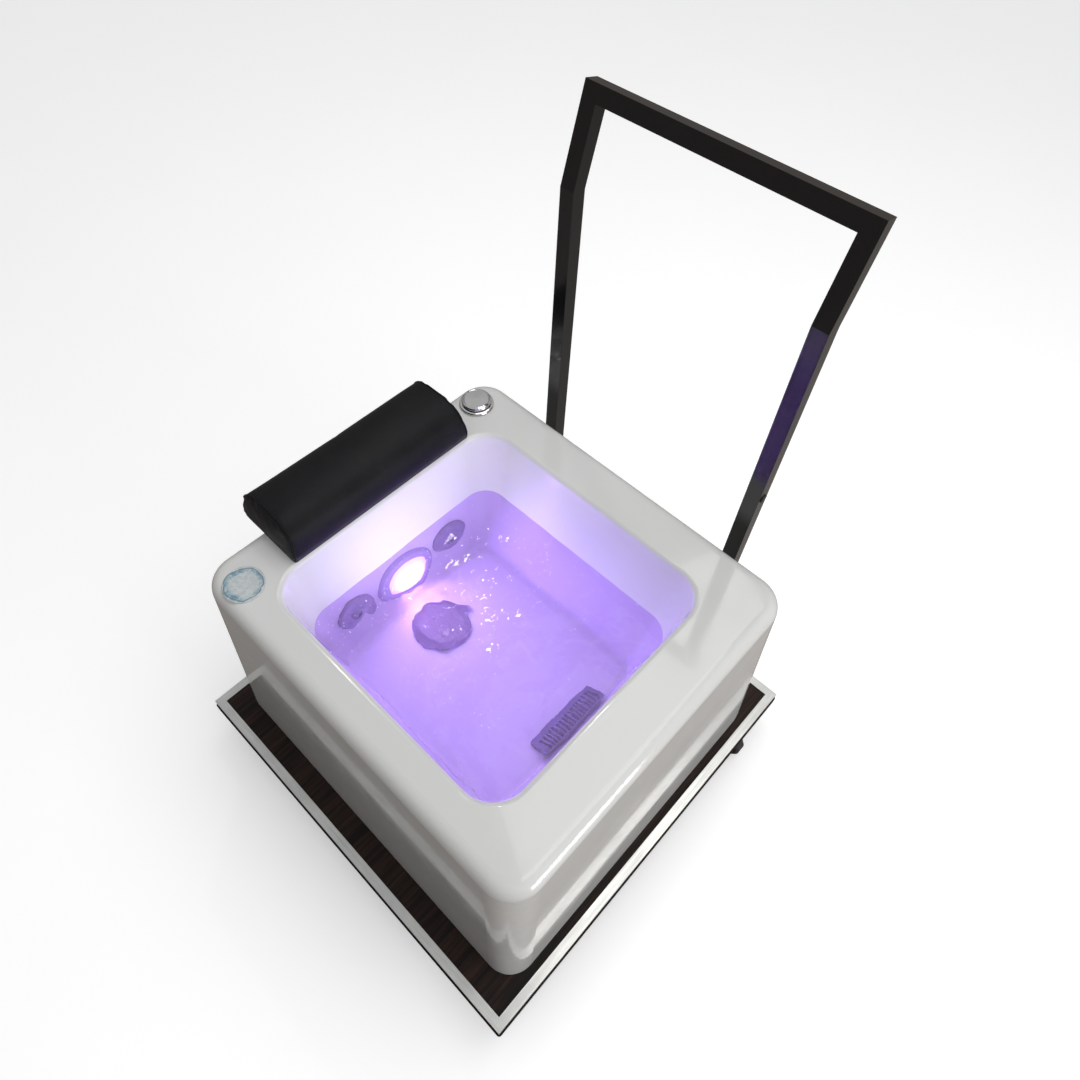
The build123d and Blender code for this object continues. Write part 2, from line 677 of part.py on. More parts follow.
def pipes():
    parts["suction_pipe"] = suction_pipe()
    parts["pressure_manifold"] = pressure_manifold()
    parts["drain_pipe"] = drain_pipe()


STEM_R = 4.0
STEM_AHEAD = 19.0           # stem behind the skirt's hole


def drain_valve_body():
    """Ball valve barrel, hose spigot and stem tower."""
    barrel = VALVE_Y + 4
    end = barrel + 40
    stem = (VALVE_X, VALVE_Y + STEM_AHEAD)
    body = along_y(VALVE_X, DRAIN_Z, (VALVE_Y, barrel), 17)
    body += along_y(VALVE_X, DRAIN_Z, (barrel, end - 10), 15)
    body += along_y(VALVE_X, DRAIN_Z, (end - 10, end), SPIGOT_R)
    body += disc(stem, (DRAIN_Z, DRAIN_Z + 19), 8)
    body -= along_y(VALVE_X, DRAIN_Z, (VALVE_Y - 3, end + 1), 9)
    body += disc(stem, (DRAIN_Z - 9.5, DRAIN_Z + 9.5), STEM_R)
    return body - disc(stem, (DRAIN_Z + 9, DRAIN_Z + 20), STEM_R + RUN_GAP)


def drain_valve_lever():
    """Stem, boss and flat handle of the quarter-turn valve."""
    stem = (VALVE_X, VALVE_Y + STEM_AHEAD)
    top = DRAIN_Z + 24
    lever = disc(stem, (DRAIN_Z + 9.6, top), STEM_R) + disc(stem, (top - 4.5, top), 9)
    return lever + block((VALVE_X - 62, VALVE_X), (stem[1] - 6, stem[1] + 6), (top - 4, top))


def drain_valve():
    parts["drain_valve_body"] = drain_valve_body()
    parts["drain_valve_lever"] = drain_valve_lever()


def power():
    """Control box on the board and the mains gland in the rear skirt."""
    box = block((158, 248), (-160, -52), (BOARD_TOP, BOARD_TOP + 58))
    box = fillet(box.edges().filter_by(Axis.Z), 6)
    parts["control_box"] = fillet(box.edges().group_by(Axis.Z)[-1], 2)
    gland = along_y(GLAND_X, GLAND_Z, (252, 266), 8.5)
    gland += along_y(GLAND_X, GLAND_Z, (264.5, 269), 13)
    gland += along_y(GLAND_X, GLAND_Z, (269, 284), 9)
    parts["power_gland"] = gland - along_y(GLAND_X, GLAND_Z, (250, 285), 4)


# ---- cushion ------------------------------------------------------------------
# Section of the pad: distance from its middle (+X toward the basin), and share of its height.
PAD_ARCH = ((57, 0.0), (56, 0.32), (50, 0.66), (35, 0.91), (10, 1.0), (-18, 0.97),
            (-40, 0.83), (-53, 0.55), (-57, 0.22), (-56, 0.0))
PAD_END_SLANT = 8.0         # how far the top of each end face leans in


def cushion_section(height):
    """Loaf-shaped section standing on the base, as an (x, z) face in the XZ plane."""
    points = [(x, height * share) for x, share in PAD_ARCH]
    arch = Spline(*[(x, 0, z) for x, z in points])
    floor = Line(arch @ 1, arch @ 0)
    return make_face([arch, floor])


def cushion():
    """Padded leg rest on a flat base that lies across the rim."""
    width, length, height = CUSHION
    x, y = CUSHION_AT
    half = length / 2
    pad_h = height - CUSHION_BASE_T
    z = RIM_Z + 0.3
    base = block((x - width / 2 + 4, x + width / 2 - 4), (y - half + 4, y + half - 4),
                 (z, z + CUSHION_BASE_T))
    parts["cushion_base"] = fillet(base.edges().filter_by(Axis.Z), 4)
    pad = extrude(cushion_section(pad_h), half, both=True)
    for side in (-1, 1):
        end = [(side * half, 0), (side * (half - PAD_END_SLANT), pad_h + 2), (side * (half + 9), pad_h + 2),
               (side * (half + 9), 0)]
        wedge = make_face(Polyline(*[(-width, v, w) for v, w in end], close=True))
        pad -= extrude(wedge, 2 * width, dir=(1, 0, 0))
    parts["cushion_pad"] = Pos(x, y, z + CUSHION_BASE_T) * pad


# ---- write --------------------------------------------------------------------
def write_all():
    os.makedirs("parts", exist_ok=True)
    for name, shape in parts.items():
        solids = [Pos(*TO_ORIGIN) * solid for solid in shape.solids()]
        export_step(solids[0] if len(solids) == 1 else Compound(solids), f"parts/{name}.step")


platform()
casters()
handle()
tub()
air_button()
jets()
lamp()
floor_fittings()
pump()
pipes()
drain_valve()
power()
cushion()
write_all()
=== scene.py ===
"""Looks of the portable pedicure foot spa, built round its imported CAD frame.

Metres, +Z up, origin on the floor under the middle of the object's box.  The leg cushion,
the lamp and the jets are on the -X side; the push handle is on the +Y side.
"""
import json
import math

import bmesh
import bpy
from mathutils import Matrix, Vector, noise
from mathutils.bvhtree import BVHTree


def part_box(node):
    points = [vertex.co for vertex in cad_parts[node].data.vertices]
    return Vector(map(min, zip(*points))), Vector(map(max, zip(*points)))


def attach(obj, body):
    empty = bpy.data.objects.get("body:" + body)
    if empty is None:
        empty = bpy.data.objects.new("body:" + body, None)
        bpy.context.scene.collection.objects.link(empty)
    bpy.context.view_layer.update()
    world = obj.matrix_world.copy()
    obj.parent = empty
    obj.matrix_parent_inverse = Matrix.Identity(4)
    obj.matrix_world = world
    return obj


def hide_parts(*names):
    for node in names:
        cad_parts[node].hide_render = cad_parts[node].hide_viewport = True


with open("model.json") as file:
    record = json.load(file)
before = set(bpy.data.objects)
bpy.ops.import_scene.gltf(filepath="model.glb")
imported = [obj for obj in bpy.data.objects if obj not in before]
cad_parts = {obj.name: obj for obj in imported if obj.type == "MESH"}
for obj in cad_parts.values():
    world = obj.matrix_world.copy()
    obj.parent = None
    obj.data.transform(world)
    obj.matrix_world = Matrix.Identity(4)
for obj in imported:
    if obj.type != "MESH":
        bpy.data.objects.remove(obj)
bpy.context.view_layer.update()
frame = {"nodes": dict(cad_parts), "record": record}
nodes = frame["nodes"]

# Camera fitted to the photograph's straight edges.
CAMERA_AT = (0.360561, -0.360521, 1.284399)
CAMERA_RIGHT = Vector((0.72358, 0.68971, 0.02707))
CAMERA_DOWN = Vector((0.56246, -0.56644, -0.60231))

WATER_Z = 0.327             # surface of the water, 97 mm below the rim
WATER_LOW = (-0.1860, -0.1871)
WATER_HIGH = (0.1730, 0.1484)
WATER_CELLS = 220           # squares along each side of the surface
SWELL = 0.0012              # height of the slow waves
CHOP = 0.0034               # height of the stirred patches


# ---- camera -------------------------------------------------------------------
def make_camera():
    """High corner view, close enough to show strong perspective."""
    data = bpy.data.cameras.new("camera")
    data.lens = 26.93
    data.sensor_width = 36.0
    data.shift_x = 0.0075
    data.shift_y = -0.042
    data.clip_start = 0.02
    camera = bpy.data.objects.new("camera", data)
    bpy.context.scene.collection.objects.link(camera)
    ahead = CAMERA_RIGHT.cross(CAMERA_DOWN)
    turn = Matrix((CAMERA_RIGHT, -CAMERA_DOWN, -ahead)).transposed()
    camera.matrix_world = Matrix.Translation(CAMERA_AT) @ turn.to_4x4()
    bpy.context.scene.camera = camera


make_camera()


# ---- material kit -------------------------------------------------------------
class Look:
    """A Principled material and short ways to wire detail into it."""

    def __init__(self, name, color, roughness, **sockets):
        self.mat = bpy.data.materials.new(name)
        self.mat.use_nodes = True
        self.tree = self.mat.node_tree
        self.bsdf = self.tree.nodes["Principled BSDF"]
        self.bsdf.inputs["Base Color"].default_value = (*color, 1)
        self.bsdf.inputs["Roughness"].default_value = roughness
        for socket, value in sockets.items():
            self.bsdf.inputs[socket.replace("_", " ")].default_value = value
        self.coords = self.add("TexCoord").outputs["Object"]

    def add(self, kind, **settings):
        node = self.tree.nodes.new("ShaderNode" + kind)
        for key, value in settings.items():
            setattr(node, key, value)
        return node

    def feed(self, socket, value):
        if isinstance(value, bpy.types.NodeSocket):
            self.tree.links.new(value, socket)
        elif hasattr(socket.default_value, "__len__") and hasattr(value, "__len__"):
            full = list(value) + [1.0] * (len(socket.default_value) - len(value))
            socket.default_value = full
        else:
            socket.default_value = value

    def place(self, scale=(1, 1, 1), offset=(0, 0, 0), turn=(0, 0, 0)):
        node = self.add("Mapping")
        self.feed(node.inputs["Vector"], self.coords)
        node.inputs["Scale"].default_value = scale
        node.inputs["Location"].default_value = offset
        node.inputs["Rotation"].default_value = turn
        return node.outputs["Vector"]

    def noise(self, scale, detail=4.0, stretch=(1, 1, 1), rough=0.5, twist=0.0, vector=None):
        node = self.add("TexNoise")
        self.feed(node.inputs["Vector"], vector or self.place(stretch))
        node.inputs["Scale"].default_value = scale
        node.inputs["Detail"].default_value = detail
        node.inputs["Roughness"].default_value = rough
        node.inputs["Distortion"].default_value = twist
        return node.outputs["Fac"]

    def cells(self, scale, stretch=(1, 1, 1), feature="F1", output="Distance"):
        node = self.add("TexVoronoi", feature=feature)
        self.feed(node.inputs["Vector"], self.place(stretch))
        node.inputs["Scale"].default_value = scale
        return node.outputs[output]

    def remap(self, value, low, high, to_low=0.0, to_high=1.0):
        node = self.add("MapRange")
        self.feed(node.inputs["Value"], value)
        limits = {"From Min": low, "From Max": high, "To Min": to_low, "To Max": to_high}
        for socket, number in limits.items():
            node.inputs[socket].default_value = number
        return node.outputs["Result"]

    def math(self, kind, a, b=0.0):
        node = self.add("Math", operation=kind)
        self.feed(node.inputs[0], a)
        self.feed(node.inputs[1], b)
        return node.outputs[0]

    def mix(self, factor, a, b):
        node = self.add("Mix", data_type="RGBA")
        self.feed(node.inputs["Factor"], factor)
        self.feed(node.inputs[6], a)
        self.feed(node.inputs[7], b)
        return node.outputs[2]

    def color(self, value):
        self.feed(self.bsdf.inputs["Base Color"], value)

    def roughness(self, value):
        self.feed(self.bsdf.inputs["Roughness"], value)

    def bump(self, height, distance, strength=1.0):
        """Raised by height (0 to 1) times distance in metres; calls add up."""
        node = self.add("Bump")
        node.inputs["Strength"].default_value = strength
        node.inputs["Distance"].default_value = distance
        self.feed(node.inputs["Height"], height)
        normal = self.bsdf.inputs["Normal"]
        if normal.is_linked:
            self.feed(node.inputs["Normal"], normal.links[0].from_socket)
        self.feed(normal, node.outputs["Normal"])


# ---- materials ----------------------------------------------------------------
def white_acrylic():
    look = Look("white_acrylic", (0.72, 0.725, 0.725), 0.1, IOR=1.49,
                Coat_Weight=0.4, Coat_Roughness=0.03)
    haze = look.noise(7, 5)
    look.color(look.mix(haze, (0.69, 0.69, 0.68), (0.735, 0.735, 0.73)))
    smear = look.noise(28, 8, (1, 0.4, 1), 0.7)
    look.roughness(look.remap(smear, 0.35, 0.75, 0.07, 0.2))
    look.bump(look.noise(16, 2), 0.0006, 0.25)
    return look.mat


def wenge_laminate():
    look = Look("wenge_laminate", (0.03, 0.018, 0.014), 0.45)
    grain = look.noise(190, 5, (1, 0.035, 1), 0.65, 0.4)
    broad = look.noise(34, 4, (1, 0.06, 1), 0.6, 1.2)
    pores = look.noise(900, 2, (1, 0.03, 1), 0.6)
    streak = look.remap(look.math("ADD", grain, look.math("MULTIPLY", broad, 0.8)), 0.78, 1.08)
    tone = look.mix(streak, (0.006, 0.0035, 0.003), (0.034, 0.017, 0.012))
    wood = look.mix(look.remap(pores, 0.56, 0.66, 0, 0.7), tone, (0.005, 0.0035, 0.003))
    split = look.add("SeparateXYZ")
    look.feed(split.inputs[0], look.add("NewGeometry").outputs["Normal"])
    upright = look.remap(look.math("ABSOLUTE", split.outputs["Z"]), 0.4, 0.6, 1.0, 0.0)
    look.color(look.mix(upright, wood, (0.008, 0.008, 0.008)))
    look.roughness(look.remap(grain, 0.3, 0.7, 0.42, 0.6))
    look.feed(look.bsdf.inputs["Specular IOR Level"], 0.15)
    look.bump(pores, 0.00025, 0.35)
    look.bump(grain, 0.0004, 0.2)
    return look.mat


def brushed(name, color, along, roughness=(0.24, 0.42), scale=900.0):
    """Brushed metal with its lines along one axis: 0 is X, 1 is Y, 2 is Z."""
    look = Look(name, color, 0.3, Metallic=1.0)
    stretch = [1.0, 1.0, 1.0]
    stretch[along] = 0.012
    lines = look.noise(scale, 4, stretch, 0.6)
    patch = look.noise(22, 5)
    dull = [c * 0.82 for c in color]
    look.color(look.mix(look.remap(look.math("ADD", lines, patch), 0.8, 1.2), color, dull))
    look.roughness(look.remap(lines, 0.3, 0.7, *roughness))
    look.bump(lines, 0.00015, 0.35)
    return look.mat


def powder_coat(name="black_powder_coat", color=(0.006, 0.006, 0.006), roughness=(0.14, 0.22)):
    look = Look(name, color, 0.2, IOR=1.5, Coat_Weight=0.2, Coat_Roughness=0.08)
    peel = look.noise(420, 2)
    wiped = look.noise(9, 3, (1, 1, 0.3), rough=0.5)
    look.color(look.mix(look.noise(35, 4), color, [c * 1.5 for c in color]))
    look.roughness(look.remap(wiped, 0.35, 0.7, *roughness))
    look.bump(peel, 0.0002, 0.12)
    return look.mat


def zinc_steel():
    look = Look("zinc_steel", (0.6, 0.6, 0.58), 0.35, Metallic=1.0)
    spangle = look.cells(260, output="Distance")
    stain = look.noise(120, 5)
    look.color(look.mix(stain, (0.50, 0.51, 0.53), (0.68, 0.66, 0.60)))
    look.roughness(look.remap(spangle, 0.0, 0.8, 0.22, 0.45))
    look.bump(look.noise(1500, 3), 0.0001, 0.3)
    return look.mat


def chrome_plate():
    look = Look("chrome_plate", (0.6, 0.59, 0.59), 0.06, Metallic=1.0)
    film = look.noise(160, 7, rough=0.7)
    look.color(look.mix(look.noise(45, 3), (0.54, 0.53, 0.53), (0.66, 0.65, 0.65)))
    look.roughness(look.remap(film, 0.4, 0.8, 0.04, 0.2))
    look.bump(look.noise(60, 2), 0.0005, 0.12)
    return look.mat


def black_rubber():
    look = Look("black_rubber", (0.02, 0.02, 0.02), 0.7)
    grit = look.noise(1100, 4)
    scuff = look.noise(90, 6, rough=0.7)
    look.color(look.mix(look.remap(scuff, 0.5, 0.75), (0.014, 0.014, 0.014), (0.07, 0.066, 0.062)))
    look.roughness(look.remap(grit, 0.3, 0.7, 0.55, 0.85))
    look.bump(grit, 0.0003, 0.4)
    return look.mat


def plastic(name, color, roughness=(0.3, 0.45), grain=900.0, depth=0.00015, **sockets):
    """Moulded plastic with a fine spark-erosion grain and handling marks."""
    look = Look(name, color, roughness[0], **sockets)
    texture = look.noise(grain, 3)
    marks = look.noise(38, 6, rough=0.65)
    light = [min(1.0, c * 1.12 + 0.004) for c in color]
    dark = [c * 0.88 for c in color]
    look.color(look.mix(marks, dark, light))
    look.roughness(look.remap(look.math("ADD", texture, marks), 0.7, 1.3, *roughness))
    look.bump(texture, depth, 0.35)
    return look.mat


def medallion_resin(centre):
    """Whitish disc with a wavy, patchy blue ring under a clear dome."""
    look = Look("medallion_resin", (0.7, 0.8, 0.85), 0.08, Coat_Weight=1.0, Coat_Roughness=0.02)
    shifted = look.place(offset=(-centre[0], -centre[1], -centre[2]))
    wobble = look.noise(55, 3, twist=0.6, vector=shifted)
    flat = look.add("VectorMath", operation="MULTIPLY")
    look.feed(flat.inputs[0], shifted)
    flat.inputs[1].default_value = (1, 1, 0)
    reach = look.add("VectorMath", operation="LENGTH")
    look.feed(reach.inputs[0], flat.outputs[0])
    wander = look.math("MULTIPLY", look.math("SUBTRACT", wobble, 0.5), 0.010)
    radius = look.math("ADD", reach.outputs["Value"], wander)
    ring = look.math("SUBTRACT", look.remap(radius, 0.0165, 0.0195), look.remap(radius, 0.0225, 0.0250))
    line = look.math("SUBTRACT", look.remap(radius, 0.0222, 0.0228), look.remap(radius, 0.0232, 0.0242))
    patches = look.remap(look.noise(34, 3, twist=1.0, vector=shifted), 0.40, 0.60, 0.35, 1.0)
    drops = look.remap(look.noise(120, 4, twist=1.5, vector=shifted), 0.40, 0.62)
    middle = look.mix(drops, (0.50, 0.55, 0.57), (0.62, 0.66, 0.67))
    watery = look.mix(drops, (0.10, 0.23, 0.32), (0.34, 0.50, 0.58))
    tone = look.mix(look.math("MULTIPLY", ring, patches), middle, watery)
    look.color(look.mix(look.math("MULTIPLY", line, 0.85), tone, (0.07, 0.14, 0.19)))
    look.roughness(look.remap(look.noise(220, 5), 0.4, 0.8, 0.05, 0.16))
    look.bump(wobble, 0.0006, 0.2)
    return look.mat


def lamp_glass(centre):
    """Frosted lens with the bright disc of the light behind it."""
    look = Look("lamp_glass", (0.95, 0.93, 1.0), 0.25, IOR=1.45)
    reach = look.add("VectorMath", operation="DISTANCE")
    look.feed(reach.inputs[0], look.coords)
    reach.inputs[1].default_value = centre
    speckle = look.cells(240)
    core = look.remap(reach.outputs["Value"], 0.010, 0.040, 1.0, 0.0)
    look.color(look.mix(speckle, (0.9, 0.85, 1.0), (0.98, 0.96, 1.0)))
    glow = look.mix(core, (0.55, 0.25, 1.0), (1.0, 0.80, 0.92))
    look.feed(look.bsdf.inputs["Emission Color"], glow)
    look.feed(look.bsdf.inputs["Emission Strength"], look.remap(core, 0.0, 1.0, 1.0, 5.0))
    look.roughness(look.remap(speckle, 0.0, 0.7, 0.15, 0.35))
    look.bump(speckle, 0.0005, 0.3)
    return look.mat


def black_vinyl():
    """Soft upholstery vinyl: pebble grain, fine creases, slight sheen."""
    look = Look("black_vinyl", (0.012, 0.012, 0.013), 0.5, IOR=1.42,
                Sheen_Weight=0.03, Sheen_Roughness=0.4)
    pebble = look.cells(620, feature="SMOOTH_F1")
    crease = look.noise(260, 5, rough=0.65, twist=0.5)
    worn = look.noise(18, 5, rough=0.6)
    look.color(look.mix(look.remap(worn, 0.4, 0.7), (0.006, 0.0065, 0.0075), (0.0105, 0.011, 0.012)))
    look.roughness(look.remap(look.math("ADD", pebble, worn), 0.5, 1.3, 0.42, 0.6))
    look.feed(look.bsdf.inputs["Specular IOR Level"], 0.2)
    look.bump(pebble, 0.00035, 0.35)
    look.bump(crease, 0.0006, 0.3)
    return look.mat


def centre_of(node):
    low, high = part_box(node)
    return [(a + b) / 2 for a, b in zip(low, high)]


SLOT_LOOKS = {
    "black_steel": powder_coat("black_steel", (0.022, 0.022, 0.024), (0.3, 0.5)),
    "black_powder_coat": powder_coat(),
    "zinc_steel": zinc_steel(),
    "chrome_plate": chrome_plate(),
    "black_rubber": black_rubber(),
    "white_acrylic": white_acrylic(),
    "medallion_resin": medallion_resin(centre_of("deck_medallion")),
    "white_pvc": plastic("white_pvc", (0.72, 0.72, 0.70)),
    "grey_plastic": plastic("grey_plastic", (0.25, 0.24, 0.28), (0.22, 0.36), 1200.0),
    "black_plastic": plastic("black_plastic", (0.018, 0.018, 0.019), (0.35, 0.55)),
    "motor_enamel": powder_coat("motor_enamel", (0.03, 0.032, 0.036), (0.25, 0.45)),
    "red_plastic": plastic("red_plastic", (0.52, 0.03, 0.025), (0.25, 0.4)),
    "lamp_glass": lamp_glass(centre_of("lamp_lens")),
    "wenge_laminate": wenge_laminate(),
    "black_vinyl": black_vinyl(),
}


def coat_nodes():
    """Gives every CAD node the material of its slot, or its own version of it."""
    metal = (0.60, 0.60, 0.585)
    own = {
        "trim_front": brushed("aluminium_x", metal, 0),
        "trim_left": brushed("aluminium_y", metal, 1),
        # The violet cast in the cover's metal colour is painted light of the lamp.
        "suction_cover": brushed("brushed_metal", (0.52, 0.47, 0.58), 0, (0.34, 0.5), 500.0),
    }
    # The violet in the grille's dark colour is painted reflection of the lamp's light.
    own["drain_grille"] = plastic("grille_plastic", (0.09, 0.075, 0.13), (0.22, 0.36), 1200.0)
    # The bezel's violet colour is painted light of the lamp beside it.
    own["lamp_bezel"] = plastic("bezel_plastic", (0.46, 0.42, 0.58), (0.15, 0.3), 1200.0)
    own["trim_rear"] = own["trim_front"]
    own["trim_right"] = own["trim_left"]
    for entry in frame["record"]["subparts"]:
        node = nodes[entry["node"]]
        look = own.get(entry["node"]) or SLOT_LOOKS[entry["material_slot"]]
        node.data.materials.clear()
        node.data.materials.append(look)


coat_nodes()


# ---- mesh kit -----------------------------------------------------------------
def shade_smooth(mesh):
    for face in mesh.polygons:
        face.use_smooth = True


def new_object(name, mesh, material):
    piece = bpy.data.objects.new(name, mesh)
    bpy.context.scene.collection.objects.link(piece)
    mesh.materials.append(material)
    shade_smooth(mesh)
    return piece


def grid_mesh(name, rows, closed_rows=False, caps=False):
    """Quads between rows of points; closed_rows joins each row's last point to its first."""
    bm = bmesh.new()
    verts = [[bm.verts.new(p) for p in row] for row in rows]
    count = len(rows[0])
    last = count if closed_rows else count - 1
    for a, b in zip(verts[:-1], verts[1:]):
        for i in range(last):
            j = (i + 1) % count
            bm.faces.new((a[i], a[j], b[j], b[i]))
    if caps:
        bm.faces.new(list(reversed(verts[0])))
        bm.faces.new(verts[-1])
    bmesh.ops.recalc_face_normals(bm, faces=bm.faces)
    mesh = bpy.data.meshes.new(name)
    bm.to_mesh(mesh)
    bm.free()
    return mesh


def tube_mesh(name, path, radius, sides=10, closed=False):
    """Round tube along a list of points."""
    rings = []
    count = len(path)
    side = None
    for i, point in enumerate(path):
        if closed:
            ahead = path[(i + 1) % count] - path[i - 1]
        else:
            ahead = path[min(i + 1, count - 1)] - path[max(i - 1, 0)]
        ahead.normalize()
        if side is None:
            side = ahead.orthogonal().normalized()
        side = (side - ahead * side.dot(ahead)).normalized()
        up = ahead.cross(side)
        rings.append([point + (side * math.cos(t) + up * math.sin(t)) * radius
                      for t in (2 * math.pi * s / sides for s in range(sides))])
    if closed:
        rings.append(rings[0])
    mesh = grid_mesh(name, rings, closed_rows=True, caps=not closed)
    if closed:
        bm = bmesh.new()
        bm.from_mesh(mesh)
        bmesh.ops.remove_doubles(bm, verts=bm.verts, dist=1e-6)
        bm.to_mesh(mesh)
        bm.free()
    return mesh


# ---- cushion ------------------------------------------------------------------
PAD_LOW, PAD_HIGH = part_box("cushion_pad")
BASE_LOW, BASE_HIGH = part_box("cushion_base")
PAD_X = (PAD_LOW[0] + PAD_HIGH[0]) / 2
PAD_Y = (PAD_LOW[1] + PAD_HIGH[1]) / 2
PAD_HALF = (PAD_HIGH[0] - PAD_LOW[0]) / 2
PAD_LONG = (PAD_HIGH[1] - PAD_LOW[1]) / 2
PAD_FLOOR = BASE_LOW[2] + 0.0004
PAD_RISE = PAD_HIGH[2] - PAD_FLOOR


PAD_SLANT = 0.0075          # the ends lean out by this much from top to bottom
REST_BAND = 0.004           # the cover stays flat and pinned up to this height
COVER_INSET = 0.003         # the cover starts this far inside the pad, then swells
SEAM_INSET = 0.0035
WELT_RADIUS = 0.0013
# Section: share of the half width, share of the height, from the basin side over the top.
LOAF = ((0.955, 0.0), (1.0, 0.12), (0.98, 0.40), (0.875, 0.70), (0.60, 0.92), (0.17, 1.0),
        (-0.32, 0.975), (-0.70, 0.85), (-0.93, 0.60), (-1.0, 0.30), (-0.985, 0.10), (-0.955, 0.0))


def pad_profile(shrink, steps=5):
    """Loaf-shaped section: flat underside, steep basin side, round top, upright outer side."""
    half = PAD_HALF - shrink
    rise = PAD_RISE - shrink
    knots = [Vector((PAD_X + half * across, PAD_FLOOR + rise * up)) for across, up in LOAF]
    ends = [2 * knots[0] - knots[1]] + knots + [2 * knots[-1] - knots[-2]]
    arch = []
    for before, a, b, after in zip(ends, ends[1:], ends[2:], ends[3:]):
        for i in range(steps):
            t = i / steps
            arch.append(0.5 * (2 * a + (b - before) * t + (2 * before - 5 * a + 4 * b - after) * t ** 2
                               + (3 * a - before - 3 * b + after) * t ** 3))
    arch.append(knots[-1])
    under = [knots[-1].lerp(knots[0], i / 14) for i in range(1, 14)]
    return [(point.x, point.y) for point in arch + under]


def end_reach(z, shrink=0.0):
    """How far the cushion's end is from its middle at one height."""
    return PAD_LONG - shrink - PAD_SLANT * (z - PAD_FLOOR) / PAD_RISE


def pad_mesh(shrink, stations=60):
    """The section repeated along Y, with leaning ends."""
    rows = []
    for i in range(stations + 1):
        share = 2 * i / stations - 1
        rows.append([Vector((x, PAD_Y + share * end_reach(z, shrink), z))
                     for x, z in pad_profile(shrink)])
    return grid_mesh("cushion_cover", rows, closed_rows=True, caps=True)


def inflate(piece, frames=20, voxel=0.0045, cap=0.005):
    """Remesh, inflate with cloth pressure, and keep each point within cap of where it began."""
    modifier = piece.modifiers.new("remesh", "REMESH")
    modifier.mode = "VOXEL"
    modifier.voxel_size = voxel
    apply_modifiers(piece)
    mesh = piece.data
    pins = piece.vertex_groups.new(name="pins")
    for vertex in mesh.vertices:
        if vertex.co.z < PAD_FLOOR + REST_BAND:
            pins.add([vertex.index], 1.0, "REPLACE")
    start = [v.co.copy() for v in mesh.vertices]
    cloth = piece.modifiers.new("cloth", "CLOTH")
    cloth.settings.use_pressure = True
    cloth.settings.uniform_pressure_force = 4.0
    cloth.settings.effector_weights.gravity = 0.0
    cloth.settings.vertex_group_mass = "pins"
    cloth.settings.quality = 6
    cloth.settings.tension_stiffness = 12
    cloth.settings.bending_stiffness = 1.5
    scene = bpy.context.scene
    for step in range(1, frames + 1):
        scene.frame_set(step)
    apply_modifiers(piece)
    scene.frame_set(1)
    for vertex, origin in zip(piece.data.vertices, start):
        move = vertex.co - origin
        if move.length > cap:
            vertex.co = origin + move.normalized() * cap
    piece.vertex_groups.clear()


def apply_modifiers(piece):
    """Replaces the mesh with its evaluated form."""
    graph = bpy.context.evaluated_depsgraph_get()
    shaped = bpy.data.meshes.new_from_object(piece.evaluated_get(graph))
    piece.modifiers.clear()
    piece.data = shaped


def wrinkle(piece):
    """Soft puckers that start at the end seams and the lower edges."""
    for vertex in piece.data.vertices:
        co = vertex.co
        edge = max(0.0, 1 - (end_reach(co.z) - abs(co.y - PAD_Y)) / 0.05)
        low = max(0.0, 1 - (co.z - PAD_FLOOR) / 0.03)
        seed = noise.noise(Vector((co.x * 55, co.y * 14, co.z * 55)))
        ripple = noise.noise(Vector((co.x * 18, co.y * 60, co.z * 18)))
        if co.z > PAD_FLOOR + REST_BAND:
            vertex.co += vertex.normal * (0.0011 * seed * edge + 0.0009 * ripple * low)


def seam_path(piece, end, inset):
    """Closed seam round one end, laid on the cover's surface."""
    tree = BVHTree.FromObject(piece, bpy.context.evaluated_depsgraph_get())
    path = []
    for x, z in pad_profile(0.0, 7):
        hit, normal, _, _ = tree.find_nearest(Vector((x, PAD_Y + end * end_reach(z, inset), z)))
        path.append(hit + normal * 0.0002)
    return path


def make_cushion():
    vinyl = SLOT_LOOKS["black_vinyl"]
    cover = new_object("cushion_cover", pad_mesh(COVER_INSET), vinyl)
    inflate(cover)
    smooth = cover.modifiers.new("subdivide", "SUBSURF")
    smooth.levels = smooth.render_levels = 1
    apply_modifiers(cover)
    wrinkle(cover)
    shade_smooth(cover.data)
    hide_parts("cushion_pad")
    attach(cover, "cushion")
    for end, word in ((-1, "near"), (1, "far")):
        name = f"cushion_welt_{word}"
        welt = tube_mesh(name, seam_path(cover, end, SEAM_INSET), WELT_RADIUS, 8, closed=True)
        piece = new_object(name, welt, vinyl)
        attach(piece, "cushion")


make_cushion()


# ---- stage: floor, water, lights ----------------------------------------------
def pale_floor():
    """Bright to the camera; darker to bounced light, so the skirts read grey as in a dim room."""
    look = Look("stage_floor", (0.9, 0.9, 0.9), 0.6)
    bright = look.mix(look.noise(3, 3), (0.93, 0.93, 0.93), (0.96, 0.96, 0.96))
    seen = look.add("LightPath").outputs["Is Camera Ray"]
    look.color(look.mix(seen, (0.30, 0.27, 0.25), bright))
    look.feed(look.bsdf.inputs["Emission Color"], (1.0, 1.0, 1.0))
    look.feed(look.bsdf.inputs["Emission Strength"], look.math("MULTIPLY", seen, 0.30))
    reach = 6.0
    rows = [[Vector((x, y, -0.0005)) for x in (-reach, reach)] for y in (-reach, reach)]
    floor = new_object("stage_floor", grid_mesh("stage_floor", rows), look.mat)


